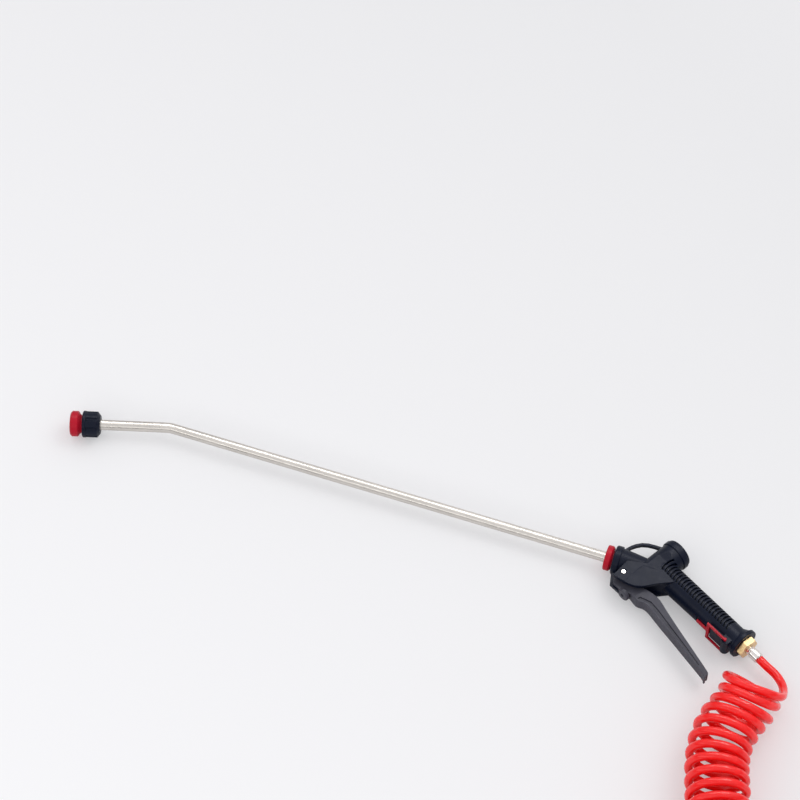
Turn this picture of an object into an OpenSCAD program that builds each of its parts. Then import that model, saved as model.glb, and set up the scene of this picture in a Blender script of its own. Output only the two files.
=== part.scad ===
// Spray lance with an adjustable nozzle, a trigger gun and a coiled hose.
// The gun lies on its side: its mid-plane is parallel to the floor, and the
// origin is where the trigger's pivot axis meets the floor. The lance runs
// along -X from the gun and the trigger side faces -Y.
// "gun" frame: origin where the lance and valve axes cross, x rearwards.
// "grip" frame: the same origin, x (s) along the handle, y (t) along the valve.

/* [Lance] */
// Outside diameter of the lance tube
tube_d = 10; // [8:0.5:11]
// Wall thickness of the lance tube
tube_wall = 1; // [0.6:0.1:1.5]
// Tube length from the gun's collar to the bend
lance_reach = 445; // [250:1:700]
// Tube length from the bend to its end in the nozzle
tip_run = 76; // [60:1:120]
// Angle of the bend
tip_bend = 16.2; // [5:0.1:40]
// Radius of the bend at the tube's centre line
bend_r = 30; // [20:1:60]

/* [Nozzle] */
// Radius over the flutes of the nozzle nut
nozzle_nut_r = 12.5; // [12:0.1:15]
// Length of the nozzle nut without its flange
nozzle_nut_len = 13.6; // [10:0.2:20]
// Radius of the nozzle nut's flange
nozzle_flange_r = 12.9; // [12:0.1:15]
// Thickness of the nozzle nut's flange
nozzle_flange_h = 3.4; // [2.6:0.1:6]
// Number of flutes round the nozzle nut
flutes = 8; // [6:1:12]
// Radius of the red cap's neck
cap_neck_r = 8.6; // [8.2:0.1:10]
// Length of the red cap's neck
cap_neck_len = 3.6; // [2:0.1:6]
// Radius of the red cap's disc
cap_disc_r = 12.3; // [10:0.1:14]
// Thickness of the red cap's disc
cap_disc_h = 8.1; // [5:0.1:12]
// Diameter of the spray orifice
orifice_d = 1.5; // [0.8:0.1:2.5]

/* [Collar and lock nut] */
// Radius of the gun's collar
collar_r = 14; // [13:0.1:16]
// Thickness of the gun's collar
collar_h = 6.4; // [4:0.1:8]
// Distance of the collar's face from the valve axis
collar_x = 39.8; // [38:0.1:50]
// Radius of the lock nut
lock_nut_r = 12; // [11:0.1:13.5]
// Thickness of the lock nut's head
lock_nut_h = 6.4; // [4:0.1:9]

/* [Gun] */
// Half the width of the gun, which is its height above the floor
side_h = 15; // [15:0.5:18]
// Angle between the lance and the handle
grip_angle = 30; // [26:1:34]
// Radius of the valve arm
arm_r = 14; // [12.5:0.1:14.4]
// Height of the valve arm above the lance axis
arm_top = 24; // [23:0.5:28]
// Radius of the valve cap
valve_cap_r = 15; // [14.4:0.1:16]
// Height of the valve cap
valve_cap_h = 8; // [6:0.1:10]
// Half the width over the cheek plates
cheek_half = 12.5; // [11.5:0.1:14]
// Thickness of each cheek plate
cheek_t = 3.5; // [2.5:0.1:3.8]
// Thickness of the hanger hoop's strap
hoop_t = 2.4; // [2:0.1:5]
// Width of the hanger hoop's strap
hoop_w = 4; // [3:0.5:12]

/* [Handle] */
// Radius of the handle at the butt
handle_r = 12.1; // [11.6:0.1:12.8]
// Radius of the handle at the valve arm
handle_root_r = 12.9; // [12.4:0.1:13.6]
// Length of the handle from the valve axis to the butt's rear face
handle_len = 110; // [105:1:130]
// Radius of the butt flange
butt_r = 15; // [14:0.1:16]
// Thickness of the butt flange
butt_h = 4; // [3:0.1:6]
// Number of grip grooves
grooves = 24; // [10:1:25]
// Width of a grip groove
groove_w = 1.8; // [1:0.1:2.4]
// Depth of a grip groove
groove_deep = 2.4; // [0.5:0.1:2.8]

/* [Trigger] */
// Width of the trigger lever
lever_w = 13; // [9:0.1:14]
// Width of the trigger's head
head_w = 9.6; // [8:0.1:11]
// Width of the keel
keel_w = 3.6; // [3:0.1:4]
// Radius of the trigger's boss
boss_r = 6.4; // [5.2:0.1:6.6]
// Diameter of the trigger pin
trigger_pin_d = 4.2; // [3:0.1:5]
// Diameter of the adjuster screw
adjuster_d = 5; // [4:0.1:5.6]
// Depth of the groove in each flank of the lever
flank_deep = 1.2; // [0.4:0.1:2]

/* [Valve] */
// Diameter of the valve stem
stem_d = 3.8; // [3:0.1:4]
// Radius of the valve chamber
chamber_r = 8.2; // [7.6:0.1:9]
// Radius of the poppet
poppet_r = 5.6; // [5:0.1:6]
// Thickness of the poppet
poppet_h = 4.5; // [3:0.1:5]
// Wire diameter of the valve spring
spring_wire = 1.1; // [0.8:0.1:1.4]
// Length of the valve spring as fitted
spring_len = 9.5; // [7:0.1:10]

/* [Lock clip] */
// Length of the clip from its pivot to the end of its tongue
clip_len = 35.6; // [30:0.2:40]
// Thickness of each prong across the gun
prong_t = 2.8; // [2:0.1:4]
// Diameter of the clip's pin
clip_pin_d = 1.5; // [1.2:0.1:1.8]

/* [Hose] */
// Outside diameter of the hose
hose_d = 8; // [6:0.1:8.2]
// Radius of the coil at the hose's centre line
coil_r = 25.7; // [22:0.1:30]
// Whole turns of the coil
coil_turns = 36; // [14:1:60]
// Spacing of the closed turns
coil_pitch = 8.8; // [8.6:0.1:14]
// Size of the hexagons across their flats
hex_af = 19; // [16:0.5:20]
// Radius of the threaded plug of each brass fitting
plug_r = 6.58; // [6:0.01:6.8]
// Length of the threaded plug of each brass fitting
plug_len = 11; // [8:0.5:13]
// Radius of the hose nut
hose_nut_r = 5.2; // [4.8:0.1:6]
// Length of the hose nut
hose_nut_len = 10; // [8:0.5:14]

/* [Hidden] */
$fn = 64;
fit = 0.05;          // radial clearance of pieces fitted together
gap = 0.3;           // clearance of faces that move past each other
eps = 0.01;          // how far a cut runs past a face
pivot_arm = 14.7;    // distance of the trigger's pivot from the valve axis
pivot_drop = 27;     // distance of the trigger's pivot below the lance axis
handle_t = 5.4;      // centre of the handle's root, along the valve axis
handle_tilt = 0.83;  // angle between the handle's own axis and the grip frame
inlet_t = 9;         // centre of the inlet and butt flange, along the valve axis
cross_x = pivot_arm * cos(grip_angle) + pivot_drop * sin(grip_angle);
cross_y = pivot_drop * cos(grip_angle) - pivot_arm * sin(grip_angle);
cheek_in = cheek_half - cheek_t;
tube_r = tube_d / 2;
bore_r = tube_r - tube_wall;

// lance, measured forwards from the valve axis
tube_rear = 20;
socket_rear = 23;
socket_r = tube_r + 3.5;
bend_d = collar_x + lance_reach;
bend_cut = bend_r * tan(tip_bend / 2);
lock_nut_gap = 1.5;
oring_r = (socket_r - tube_r) / 2;
ferrule_d0 = socket_rear + 2 * oring_r + 0.1;
ferrule_d1 = ferrule_d0 + 3.4;

// nozzle, measured forwards from the bend
nut_d0 = tip_run - 9.1;
nut_d1 = nut_d0 + nozzle_nut_len;
flange_d1 = nut_d1 + nozzle_flange_h;
cap_d0 = flange_d1 + gap;
neck_d1 = flange_d1 + cap_neck_len;
cap_d1 = neck_d1 + cap_disc_h;
core_r = tube_r + 1.9;
core_d0 = tip_run - 5;
core_d1 = cap_d1 - 4;
flute_r = 1.7;
flute_in = 1.2;
flute_turn = -31.5;  // where the first land between two flutes stands round the nut
neck_cone = (cap_neck_len - gap) * 0.7;
nozzle_wall = 2.5;

// valve, measured along the valve axis from the lance axis
seat_t0 = 1.5;
seat_t1 = 4;
outlet_r = 5;
outlet_t0 = -7;
gland_t0 = -16;
gland_t1 = -9.2;
gland_r = 4.6;
gland_head_h = 2.7;
gland_head_af = 11;
pad_t = -32.3;       // face of the adjuster screw
web_t = -33;         // upper face of the trigger's web
boss_t0 = -40.4;
boss_h = 3.8;
boss_neck_r = 4.6;
boss_s = -1.5;       // the boss is set back so that the adjuster slides under the stem
hub_r = 4.5;
head_room = 6.3;     // radius of the barrel's hollow round the trigger's head
pin_head_r = 4;
stem_top = 6;
lift = 3.2;          // room for the poppet's travel
poppet_t1 = seat_t1 + poppet_h;
spring_t1 = poppet_t1 + spring_len;
spring_r = 4.3;
pocket_r = spring_r + spring_wire / 2 + 0.6;
pocket_t1 = spring_t1 + lift;
shank_r = chamber_r - fit;
shank_t0 = arm_top - 7;

// handle and butt, measured along the handle from the valve axis
water_r = 4;
plug_bore_d0 = handle_len - plug_len - 1;
filter_len = 26;
groove_s0 = 4.7;
groove_pitch = 3.65;
groove_y0 = -4.2;     // a groove's ends, across the handle from its axis
groove_y1 = 11.5;
groove_arc = 21;      // radius of a groove's arch
groove_low = 4.2;     // half the width of the smooth spine between the two rows
bell_s0 = handle_len - 18;
bell_s1 = handle_len - butt_h;
clip_s = handle_len - 11.5;
clip_t = handle_front(clip_s - clip_len) + 0.45;
lug_t = clip_t + 1.4;
lug_r = 4.4;
lug_w = 19.4;
rib_w = 16.4;         // width of the rib that fills the clip's window
prong_in = lug_w / 2 + 0.4;
prong_out = prong_in + prong_t;
clip_top = clip_t + 0.35;
clip_r = 1.3;
clip_low = clip_t - clip_r;
tongue_half = 1.8;
pin_end = prong_out - 0.8;
clip_bar_s = clip_s - 21.3;
washer_h = 0.5;
hex_h = 6;
hex_turn = 20;       // how far the hexagons are turned about their axis
hex_s0 = handle_len + washer_h;
hex_s1 = hex_s0 + hex_h;
stem_len = 3.5;       // length of the hose's stem before its nut
stem_collar_r = 4.75;
stem_collar_h = 1.8;
hose_nut_s0 = hex_s1 + stem_len;
hose_s0 = hose_nut_s0 + 3;
hose_nut_s1 = hose_nut_s0 + hose_nut_len;
hose_r = hose_d / 2;
neck_r = 3.4;
hose_bore_r = 2.2;

black = "#2f343d";
grey = "#6d7178";
red = "#c4142d";
brass = "#c7a248";
nickel = "#c9ccd0";
steel = "#b4b8bc";
rubber = "#1c1c1e";

// outlines in the gun frame
cheek_pts = [[-34, -23], [-33.2, -20.3], [-26.8, -5], [-25.5, -3.6], [-13.5, -1.6], [-7.5, -0.8],
    [1, -1], [9, -3], [21.5, -11.7], [12.5, -15.9], [5.1, -19.6], [1.5, -21.9], [-2, -24.1],
    [-5.5, -25.9], [-9.2, -27], [-12.2, -27.4], [-15.2, -27.4], [-19, -27], [-22.4, -26.2], [-28.7, -24.4]];
block_pts = [[-26, 0], [-26, -10.6], [-20.5, -10.6], [-13.5, -13.2], [-3, -16.2], [10, -15.8],
    [21, -14.8], [28, -12], [28, 0]];
hoop_out = [[-35, 8], [-34, 11], [-32, 14.6], [-28.8, 18.4], [-25, 21.6], [-20, 24.6], [-14, 26.1],
    [-8, 26.5], [-1, 26.3]];

// outlines in the grip frame
keel_pts = [[-15, -6], [-27.5, -22], [-24, -33.7], [-17.2, -41.4], [-6.5, -41], [-6.8, -33],
    [-8, -24], [-8, -6]];
trigger_pts = [[-20.4, -30], [-20.2, -34.2], [-14.7, -39.9], [-5, -39.6], [-1, -37], [4.5, -35.8],
    [9.2, -36.1], [13, -36.3], [15.7, -35.4], [19, -33.5], [21.4, -32.8], [23.8, -32.6], [29, -32.9],
    [34.7, -33.8], [45.9, -35.3], [56.8, -36.5], [67.6, -37.7], [78.7, -39.2], [89.7, -40.6],
    [100.4, -41.9], [107, -42.8], [110.4, -43.7], [112, -45.2], [113.2, -45], [113.1, -43.4],
    [111.9, -41.9], [112.6, -40.9], [112.1, -39.6], [110.9, -38.6], [109.3, -38.2], [97, -35.5],
    [85, -33], [72.9, -30.5], [60.7, -28], [48.3, -25.2], [36.7, -22.4], [30.5, -20.8], [27.7, -20.2],
    [23.5, -19.9], [19.1, -20.3], [14.3, -21.2], [9.8, -22.4], [3, -24.2], [-6, -22.6], [-11, -21.6],
    [-14.7, -22], [-18.5, -23.8], [-20.4, -27]];
slot_pts = [[-30, -15], [5, -15], [5, web_t], [-6.2, web_t], [-6.2, -50], [-30, -50]];
channel_pts = [[12.6, -34.4], [16, -33.6], [20, -31.2], [24, -30.4], [35, -32], [57, -34.9],
    [79, -37.6], [100, -40.4], [100, -39.4], [79, -35.6], [57, -32.1], [36, -28.6], [24, -27.4],
    [18, -29.4], [13, -31.6]];
// half the trigger's width along the grip frame's x
plan_pts = [[-30, head_w / 2], [3, head_w / 2], [10, lever_w / 2], [60, lever_w / 2],
    [108, lever_w / 2 - 0.8], [120, lever_w / 2 - 1.6]];

// hose: axis of the coil at every whole turn and a quarter, and its heading there
coil_axis = [[119.7, -90.2], [119.8, -106.2], [116.5, -119.8], [112.1, -131.9], [108.9, -145.6],
    [108, -159.8], [109.3, -172.4], [112, -184.3], [115.5, -195.9], [119.5, -208.2], [123, -221],
    [126.3, -233.7]];
coil_turn = [-97, -102, -101, -98, -95.7, -92.5, -87.8, -83.5, -79.1, -76.6, -75, -75];
coil_lean = 0.86;        // how far the first turn leans along the coil's axis
coil_settle = 2.2;       // turns over which the lean dies away
coil_tail = 14;          // how fast the part turn after the last whole one runs away from it
coil_z = coil_r + hose_r;
coil_t0 = 0.2;
coil_t1 = coil_turns + 0.8125;
coil_rings = 8;
coil_sides = 6;
lead_sides = 10;
lead_pts = [[125.4, -62, 14.5], [131.5, -64.7, 13.6], [137.3, -68.4, 13.2], [142, -73.3, 14],
    [145.6, -80, 17], [147.4, -88, 22], [147.6, -95.6, 30], [144.8, -102.4, 39.5], [139.8, -106.4, 46.5]];

// frames: each places its children in a frame of the gun
module gun() translate([cross_x, cross_y, side_h]) children();
module grip() gun() rotate([0, 0, -grip_angle]) children();
module lance_at(d) gun() translate([-d, 0, 0]) rotate([0, -90, 0]) children();
module tip_at(d) lance_at(bend_d) rotate([tip_bend, 0, 0]) translate([0, 0, d]) children();
module boss_at(t) grip() translate([boss_s, t, 0]) rotate([-90, 0, 0]) children();
module valve_at(t) grip() translate([0, t, 0]) rotate([-90, 0, 0]) children();
module inlet_at(s) grip() translate([s, inlet_t, 0]) rotate([0, 90, 0]) children();
module handle_at(s) grip() translate([0, handle_t, 0]) rotate([0, 0, handle_tilt])
    translate([s, 0, 0]) rotate([0, 90, 0]) children();

// a disc with a hole
module washer(r_out, r_in, h) difference() {
    cylinder(r = r_out, h = h);
    translate([0, 0, -eps]) cylinder(r = r_in, h = h + 2 * eps);
}

// a solid of revolution from [radius, height] points
module turned(pts) rotate_extrude() polygon(pts);

// a cylinder with a chamfer c0 at the bottom and c1 at the top
module drum(r, h, c0, c1)
    turned([[0, 0], [r - c0, 0], [r, c0], [r, h - c1], [r - c1, h], [0, h]]);

// an O-ring of the given centre radius and section radius, its middle at z = 0
module oring(r, section) rotate_extrude() translate([r, 0]) circle(r = section, $fn = 24);

// a slab between two heights above and below the gun's mid-plane
module slab(half) translate([0, 0, -half]) linear_extrude(2 * half) children();

// a pair of plates from "inner" to "outer" on both sides of the mid-plane
module plates(inner, outer) for (m = [0, 1]) mirror([0, 0, m])
    translate([0, 0, inner]) linear_extrude(outer - inner) children();

// a hexagon prism by its width across flats
module hexagon(af, h) cylinder(r = af / 2 / cos(30), h = h, $fn = 6);

// points of the hoop's inner line: the outer line moved inwards by the strap's thickness
function inward(p, q) = let (d = (q - p) / norm(q - p)) [d[1], -d[0]] * hoop_t;
hoop_in = [for (i = [1:len(hoop_out) - 1])
    hoop_out[i] + inward(hoop_out[i - 1], hoop_out[min(i + 1, len(hoop_out) - 1)])];

module barrel() lance_at(0) turned([[0, -4], [10, -4], [10, 10], [12.8, collar_x - collar_h],
    [collar_r - 0.5, collar_x - collar_h], [collar_r, collar_x - collar_h + 0.5],
    [collar_r, collar_x - 0.8], [collar_r - 0.8, collar_x], [0, collar_x]]);

module butt() inlet_at(0) turned(concat([[0, bell_s0]],
    [for (i = [0:8]) let (u = i / 8) [8.4 + (butt_r - 1 - 8.4) * pow(u, 1.7),
        bell_s0 + (bell_s1 - bell_s0) * u]],
    [[butt_r - 0.4, bell_s1], [butt_r, bell_s1 + 0.4], [butt_r, handle_len - 0.4],
     [butt_r - 0.4, handle_len], [0, handle_len]]));

module handle() handle_at(0) turned([[0, 0], [handle_root_r - 0.8, 0], [handle_root_r, 5],
    [handle_r, bell_s1], [0, bell_s1]]);

// the valve arm: its foot is no thicker than the cheek plates
module arm() intersection() {
    valve_at(outlet_t0 - 1) cylinder(r = arm_r, h = arm_top - outlet_t0 + 1);
    grip() rotate([90, 0, 90]) linear_extrude(4 * arm_r, center = true) {
        arm_side = [[10, cheek_half - 0.1], [arm_top - 5, arm_r + 0.1], [arm_top + 1, arm_r + 0.1]];
        polygon(concat([[-20, 0.1 - cheek_half], [-20, cheek_half - 0.1]], arm_side,
            [for (i = [1:3]) [arm_side[3 - i][0], -arm_side[3 - i][1]]]));
    }
}

function handle_r_at(s) = handle_root_r + (handle_r - handle_root_r) * s / bell_s1;
function handle_front(s) = handle_t + s * sin(handle_tilt) - handle_r_at(s);

// two rows of grooves, each arched towards the valve and cut square to the gun's mid-plane
module grip_grooves() handle_at(0) for (m = [0, 1]) mirror([m, 0, 0]) rotate([90, 0, 90])
    translate([0, 0, groove_low]) linear_extrude(side_h) intersection() {
        translate([groove_y0, 0]) square([groove_y1 - groove_y0, handle_len]);
        for (i = [0:grooves - 1]) translate([(groove_y0 + groove_y1) / 2,
            groove_s0 + i * groove_pitch + groove_arc]) difference() {
            circle(r = groove_arc);
            circle(r = groove_arc - groove_w);
            translate([-groove_arc, -groove_arc / 2]) square(2 * groove_arc);
        }
    }

// what the grooves leave whole: the handle's core and the valve chamber's wall
module groove_core() {
    handle_at(0) turned([[0, -1], [handle_root_r - groove_deep, -1], [handle_r - groove_deep, bell_s1],
        [0, bell_s1]]);
    valve_at(outlet_t0 - 2) cylinder(r = chamber_r + 1.5, h = arm_top - outlet_t0 + 4);
}

module body() color(black) difference() {
    union() {
        difference() {
            barrel();
            translate([0, 0, side_h - cheek_in]) cylinder(r = hub_r + gap, h = 2 * cheek_in);
            translate([0, 0, side_h - head_w / 2 - gap]) cylinder(r = head_room, h = head_w + 2 * gap);
        }
        difference() {
            union() {
                arm();
                handle();
            }
            difference() {
                grip_grooves();
                groove_core();
            }
            // the flat that the clip's tongue and bar lie on
            grip() slab(side_h) translate([clip_s - clip_len - 1.2, clip_top + gap - side_h])
                square([clip_bar_s + 2.2 - clip_s + clip_len + 1.2, side_h]);
        }
        butt();
        gun() slab(hoop_w / 2) polygon(concat(hoop_out, [for (i = [1:len(hoop_in)])
            hoop_in[len(hoop_in) - i]], [[-30.5, 8]]));
        gun() slab(cheek_in) polygon(block_pts);
        gun() plates(cheek_in, cheek_half) polygon(cheek_pts);
        grip() slab(keel_w / 2) polygon(keel_pts);
        grip() slab(lug_w / 2) {
            translate([clip_s, lug_t]) circle(r = lug_r);
            translate([clip_s - lug_r, lug_t]) square([2 * lug_r, handle_t - lug_t]);
        }
        grip() slab(rib_w / 2) translate([clip_bar_s + 2.2, clip_t]) square([clip_s - clip_bar_s - 2.2,
            handle_t - clip_t]);
    }
    // water way: lance socket, outlet, chamber and handle bore
    lance_at(socket_rear) cylinder(r = socket_r, h = collar_x);
    lance_at(tube_rear) cylinder(r = tube_r + fit, h = socket_rear);
    lance_at(0) cylinder(r = bore_r, h = tube_rear + eps);
    valve_at(outlet_t0) cylinder(r = outlet_r, h = seat_t0 - outlet_t0);
    valve_at(seat_t0 - eps) cylinder(r = poppet_r + 1 + fit, h = seat_t1 - seat_t0 + 2 * eps);
    valve_at(seat_t1) cylinder(r = chamber_r, h = arm_top);
    valve_at(gland_t1 - eps) cylinder(r = stem_d / 2 + fit, h = outlet_t0 - gland_t1 + 2 * eps);
    valve_at(gland_t0 - eps) cylinder(r = gland_r, h = gland_t1 - gland_t0 + eps);
    valve_at(gland_t0 - gland_head_h - 2) cylinder(r = gland_head_af / 2 / cos(30) + gap,
        h = gland_head_h + 2);
    inlet_at(0) cylinder(r = water_r, h = handle_len);
    inlet_at(plug_bore_d0) cylinder(r = plug_r + fit, h = plug_len + 2);
    // pins
    cylinder(r = trigger_pin_d / 2 + fit, h = 2 * side_h);
    translate([0, 0, side_h + cheek_half - 0.6]) cylinder(r = trigger_pin_d / 2 + 0.6, h = 1);
    grip() translate([clip_s, clip_t, -side_h]) cylinder(r = clip_pin_d / 2, h = 2 * side_h);
}

module valve_cap() color(black) difference() {
    valve_at(shank_t0) union() {
        cylinder(r = shank_r, h = arm_top - shank_t0 + 1);
        translate([0, 0, arm_top - shank_t0]) turned([[0, 0], [valve_cap_r - 0.6, 0],
            [valve_cap_r, 0.6], [valve_cap_r, 4.9], [valve_cap_r - 0.9, 5.3],
            [valve_cap_r - 1.2, valve_cap_h - 0.6], [valve_cap_r - 1.8, valve_cap_h], [0, valve_cap_h]]);
    }
    valve_at(shank_t0 - eps) cylinder(r = pocket_r, h = pocket_t1 - shank_t0);
    valve_at(arm_top - 2) rotate_extrude() translate([shank_r - 1.2, -0.9]) square([2, 1.8]);
}

module cap_seal() color(rubber) valve_at(arm_top - 2) oring(chamber_r - 0.65, 0.6);

module valve_seat() color(brass) valve_at(seat_t0) difference() {
    cylinder(r = poppet_r + 1, h = seat_t1 - seat_t0);
    translate([0, 0, -eps]) cylinder(r = poppet_r - 2, h = seat_t1 - seat_t0 + 2 * eps);
}

module poppet() color(rubber) valve_at(seat_t1) washer(poppet_r, stem_d / 2, poppet_h);

module valve_stem() color(steel) valve_at(pad_t + gap + stem_d / 2) union() {
    cylinder(d = stem_d, h = poppet_t1 + 1.5 - pad_t - gap - stem_d / 2);
    sphere(d = stem_d);
    translate([0, 0, poppet_t1 - pad_t - gap - stem_d / 2]) cylinder(r = 2.9, h = 1.5);
}

module valve_spring() color(steel) valve_at(poppet_t1)
    washer(spring_r + spring_wire / 2, spring_r - spring_wire / 2, spring_len);

module stem_seal() color(rubber) valve_at(gland_t1 - (gland_r - stem_d / 2) / 2)
    oring((gland_r + stem_d / 2) / 2, (gland_r - stem_d / 2) / 2 - 0.03);

module gland_nut() color(brass) valve_at(gland_t0 - gland_head_h) difference() {
    union() {
        hexagon(gland_head_af, gland_head_h);
        cylinder(r = gland_r - fit, h = gland_head_h + gland_t1 - gland_t0 - 2.8);
    }
    translate([0, 0, -eps]) cylinder(r = stem_d / 2 + fit, h = 20);
}

module trigger() color(grey) difference() {
    union() {
        intersection() {
            grip() slab(lever_w / 2) polygon(trigger_pts);
            grip() translate([0, 20, 0]) rotate([90, 0, 0]) linear_extrude(90)
                polygon(concat(plan_pts, [for (i = [1:len(plan_pts)]) let (p = plan_pts[len(plan_pts) - i])
                    [p[0], -p[1]]]));
        }
        translate([0, 0, side_h - cheek_in + gap]) cylinder(r = hub_r, h = 2 * (cheek_in - gap));
        boss_at(boss_t0) drum(boss_r, boss_h, 0.6, 0.3);
        boss_at(boss_t0) cylinder(r = boss_neck_r, h = web_t - boss_t0);
    }
    grip() slab(keel_w / 2 + 2 * gap) polygon(slot_pts);
    grip() plates(lever_w / 2 - flank_deep, lever_w / 2 + 1) polygon(channel_pts);
    cylinder(r = trigger_pin_d / 2 + fit, h = 2 * side_h);
    boss_at(boss_t0 - eps) cylinder(r = 1.7, h = 3);
    boss_at(boss_t0 + 1.9) cylinder(r = adjuster_d / 2 + fit, h = 12);
}

module adjuster() color(steel) boss_at(boss_t0 + 2) difference() {
    cylinder(d = adjuster_d, h = pad_t - boss_t0 - 2);
    translate([0, 0, -eps]) hexagon(2.5, 2.5);
}

// the pin's head is on the lower side and reaches the floor
module trigger_pin() color(nickel) union() {
    drum(pin_head_r, side_h - cheek_half, 0.4, 0);
    drum(trigger_pin_d / 2, side_h + cheek_half - 0.5, 0, 0.2);
}

module lock_clip() color(red) difference() {
    grip() union() {
        plates(prong_in, prong_out) {
            translate([clip_s, clip_t]) circle(r = clip_r);
            translate([clip_bar_s - 1.4, clip_low]) square([clip_s - clip_bar_s + 1.4, clip_top - clip_low]);
        }
        slab(prong_out) translate([clip_bar_s - 1.4, clip_low]) square([3, clip_top - clip_low]);
        slab(tongue_half) translate([clip_s - clip_len, clip_low])
            square([clip_len - 21, clip_top - clip_low]);
    }
    grip() translate([clip_s, clip_t, -pin_end - fit]) cylinder(r = clip_pin_d / 2 + fit, h = 2 * (pin_end + fit));
}

module clip_pin() color(steel) grip() translate([clip_s, clip_t, -pin_end])
    cylinder(d = clip_pin_d, h = 2 * pin_end);

module inlet_filter() color("white") inlet_at(plug_bore_d0 - filter_len) difference() {
    cylinder(r = water_r - fit, h = filter_len);
    translate([0, 0, 1]) cylinder(r = water_r - 1, h = filter_len);
}

// the tube's outline for a section radius: straight, bend, straight
module lance_path(r) {
    lance_at(tube_rear) cylinder(r = r, h = bend_d - bend_cut - tube_rear);
    lance_at(bend_d - bend_cut) translate([0, -bend_r, 0]) rotate([90, 0, 90])
        rotate_extrude(angle = tip_bend) translate([bend_r, 0]) circle(r = r);
    tip_at(bend_cut) cylinder(r = r, h = tip_run - bend_cut);
}

module lance_tube() color(steel) difference() {
    lance_path(tube_r);
    lance_path(bore_r);
}

module lance_nut() color(red) lance_at(ferrule_d1) difference() {
    union() {
        cylinder(r = socket_r - fit, h = collar_x + lock_nut_gap - ferrule_d1 + 1);
        translate([0, 0, collar_x + lock_nut_gap - ferrule_d1]) drum(lock_nut_r, lock_nut_h, 1.5, 0.5);
    }
    translate([0, 0, -eps]) cylinder(r = tube_r + fit, h = 40);
}

module lance_ferrule() color("ivory") lance_at(ferrule_d0)
    washer(socket_r - fit, tube_r + fit, ferrule_d1 - ferrule_d0);

module lance_seal() color(rubber) lance_at(socket_rear + oring_r) oring(tube_r + oring_r, oring_r - 0.02);

module nozzle_body() color(black) tip_at(core_d0) difference() {
    cylinder(r = core_r, h = core_d1 - core_d0);
    translate([0, 0, -eps]) cylinder(r = tube_r + fit, h = tip_run - core_d0 + 1);
    translate([0, 0, -eps]) cylinder(r = nozzle_wall, h = core_d1 - core_d0 + 1);
    translate([0, 0, core_d1 - core_d0 - 5]) cylinder(r = 3.4, h = 6);
}

module nozzle_nut() color(black) tip_at(nut_d0) difference() {
    union() {
        difference() {
            turned([[0, 0], [nozzle_nut_r - 3.6, 0], [nozzle_nut_r, 2.8], [nozzle_nut_r, nozzle_nut_len],
                [0, nozzle_nut_len]]);
            for (i = [0:flutes - 1]) rotate([0, 0, flute_turn + (i + 0.5) * 360 / flutes])
                translate([nozzle_nut_r - flute_in + flute_r, 0, -1]) cylinder(r = flute_r, h = nozzle_nut_len + 1);
        }
        translate([0, 0, nozzle_nut_len]) drum(nozzle_flange_r, nozzle_flange_h, 0.5, 0.8);
    }
    translate([0, 0, -eps]) cylinder(r = tube_r + 2 * fit, h = 30);
    translate([0, 0, core_d0 - nut_d0 - fit]) cylinder(r = core_r + fit, h = 30);
}

module nozzle_seal() color(rubber) tip_at(tip_run + fit) washer(tube_r, nozzle_wall, 1 - 2 * fit);

module swirl_core() color("ivory") tip_at(core_d1 - 4.9) difference() {
    cylinder(r = 3.4 - fit, h = 4.6);
    for (i = [0:2]) rotate([0, 0, i * 120]) translate([2.9, 0, -1]) cylinder(r = 0.7, h = 7, $fn = 24);
    translate([0, 0, 3.4]) cylinder(r = 1.7, h = 2);
}

module nozzle_cap() color(red) tip_at(cap_d0) difference() {
    union() {
        cylinder(r = cap_neck_r, h = neck_d1 - cap_d0 + 1);
        translate([0, 0, neck_d1 - cap_d0 - neck_cone])
            cylinder(r1 = cap_neck_r, r2 = cap_neck_r + 1.8, h = neck_cone);
        translate([0, 0, neck_d1 - cap_d0]) drum(cap_disc_r, cap_disc_h, 1, 1.6);
    }
    translate([0, 0, -eps]) cylinder(r = core_r + fit, h = core_d1 - cap_d0 + 0.5);
    cylinder(d = orifice_d, h = 20);
    translate([0, 0, cap_d1 - cap_d0 - 1.5]) cylinder(r1 = orifice_d / 2, r2 = orifice_d / 2 + 2, h = 1.51);
}

// a brass fitting with its plug before z = 0 and its hexagon after it
module fitting() difference() {
    union() {
        translate([0, 0, -plug_len - washer_h]) drum(plug_r, plug_len + washer_h + 1, 0.8, 0);
        intersection() {
            rotate([0, 0, hex_turn]) hexagon(hex_af, hex_h);
            drum(hex_af / 2 / cos(30), hex_h, 0.6, 0.6);
        }
    }
    translate([0, 0, -plug_len - 2]) cylinder(r = 3, h = plug_len + hex_h - 2);
}

module inlet_adapter() color(brass) inlet_at(hex_s0) fitting();

module inlet_washer() color(rubber) inlet_at(handle_len) washer(hex_af / 2 - 1, plug_r + fit, washer_h);

// the hose's stem between the hexagon's face and the hose's end
module hose_stem() color(nickel) inlet_at(hex_s1) difference() {
    union() {
        cylinder(r = neck_r, h = hose_s0 - hex_s1);
        drum(stem_collar_r, stem_collar_h, 0.2, 0.4);
    }
    translate([0, 0, -eps]) cylinder(r = hose_bore_r, h = hose_s0 - hex_s1 + 1);
}

module hose_nut() color(nickel) inlet_at(hose_nut_s0) difference() {
    drum(hose_nut_r, hose_nut_len, 0.5, 0.9);
    translate([0, 0, -eps]) cylinder(r = neck_r + fit, h = hose_nut_len);
    translate([0, 0, hose_s0 - hose_nut_s0 - fit]) cylinder(r = hose_r + fit, h = hose_nut_len);
}

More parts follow.
